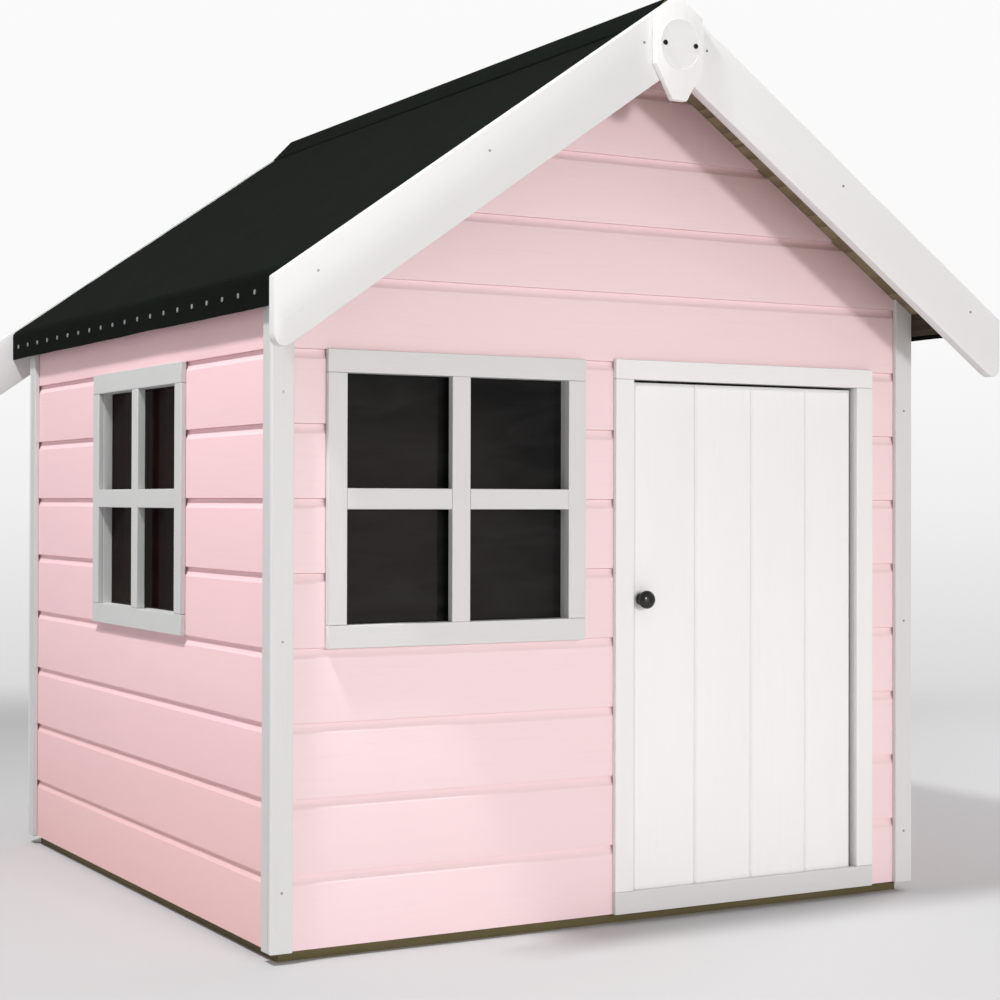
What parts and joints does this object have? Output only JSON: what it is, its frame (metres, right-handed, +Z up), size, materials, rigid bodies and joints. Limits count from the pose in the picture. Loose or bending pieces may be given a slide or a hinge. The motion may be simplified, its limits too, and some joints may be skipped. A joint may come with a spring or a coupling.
{
  "type": "timber playhouse",
  "caption": "Small pitched-roof timber playhouse with coved board walls, pane windows and a hinged door that opens inwards.",
  "frame": {"origin": "on the ground at the middle of the outline, barge boards and finial plates included", "axes": "+X to the right as seen from the front, +Y to the rear, +Z up; the door faces -Y"},
  "size_m": [1.35, 1.5148, 1.4739],
  "materials": {
    "treated_timber": "pressure-treated softwood, green-brown",
    "raw_timber": "planed softwood, unpainted",
    "roof_timber": "sawn treated softwood",
    "pink_paint": "softwood board in satin pink paint",
    "white_paint": "softwood in satin white paint",
    "door_white": "softwood board in satin white paint",
    "roof_felt": "mineral-faced bitumen felt, green-black",
    "galvanised_steel": "galvanised steel",
    "pin_steel": "dull steel",
    "zinc_plated_steel": "zinc-plated pressed steel",
    "knob_black": "glossy black plastic",
    "screw_black": "blackened steel",
    "plaque_white": "glossy white plastic",
    "glazing": "clear acrylic sheet"
  },
  "bodies": {
    "house": {"floor_rims": "treated_timber", "floor_bearers": "treated_timber", "floor_boards": "raw_timber", "front_frame": "raw_timber", "rear_frame": "raw_timber", "left_frame": "raw_timber", "right_frame": "raw_timber", "front_cladding": "pink_paint", "front_gable_cladding": "pink_paint", "rear_cladding": "pink_paint", "rear_gable_cladding": "pink_paint", "left_cladding": "pink_paint", "right_cladding": "pink_paint", "front_corner_strips": "white_paint", "rear_corner_strips": "white_paint", "left_corner_strips": "white_paint", "right_corner_strips": "white_paint", "front_window_lining": "white_paint", "front_window_pane": "glazing", "front_window_beads": "white_paint", "front_window_trim_rails": "white_paint", "front_window_trim_stiles": "white_paint", "front_window_bars": "white_paint", "side_window_lining": "white_paint", "side_window_pane": "glazing", "side_window_beads": "white_paint", "side_window_trim_rails": "white_paint", "side_window_trim_stiles": "white_paint", "side_window_bars": "white_paint", "door_sill": "raw_timber", "door_jambs": "white_paint", "door_trim_head": "white_paint", "door_trim_sides": "white_paint", "door_trim_foot": "white_paint", "door_hinge_plates": "zinc_plated_steel", "door_hinge_pins": "zinc_plated_steel", "door_plate_screws": "zinc_plated_steel", "ridge_beam": "raw_timber", "left_roof_boards": "roof_timber", "right_roof_boards": "roof_timber", "eave_battens": "roof_timber", "left_roof_felt": "roof_felt", "right_roof_felt": "roof_felt", "ridge_roll": "roof_timber", "ridge_felt": "roof_felt", "clout_nails": "galvanised_steel", "front_barge_boards": "white_paint", "rear_barge_boards": "white_paint", "front_finial": "white_paint", "rear_finial": "white_paint", "finial_plaque": "plaque_white", "finial_screws": "screw_black", "panel_pins": "pin_steel"},
    "door": {"door_boards": "door_white", "door_ledges": "raw_timber", "door_knob": "knob_black", "door_knob_screw": "zinc_plated_steel", "door_hinge_straps": "zinc_plated_steel", "door_strap_screws": "zinc_plated_steel"}
  },
  "joints": [
    {"name": "door_hinge", "type": "hinge", "parent": "house", "child": "door", "pos_m": [0.4865, -0.5428, 0.46], "axis": [0, 0, -1], "range_deg": [0, 95]}
  ]
}
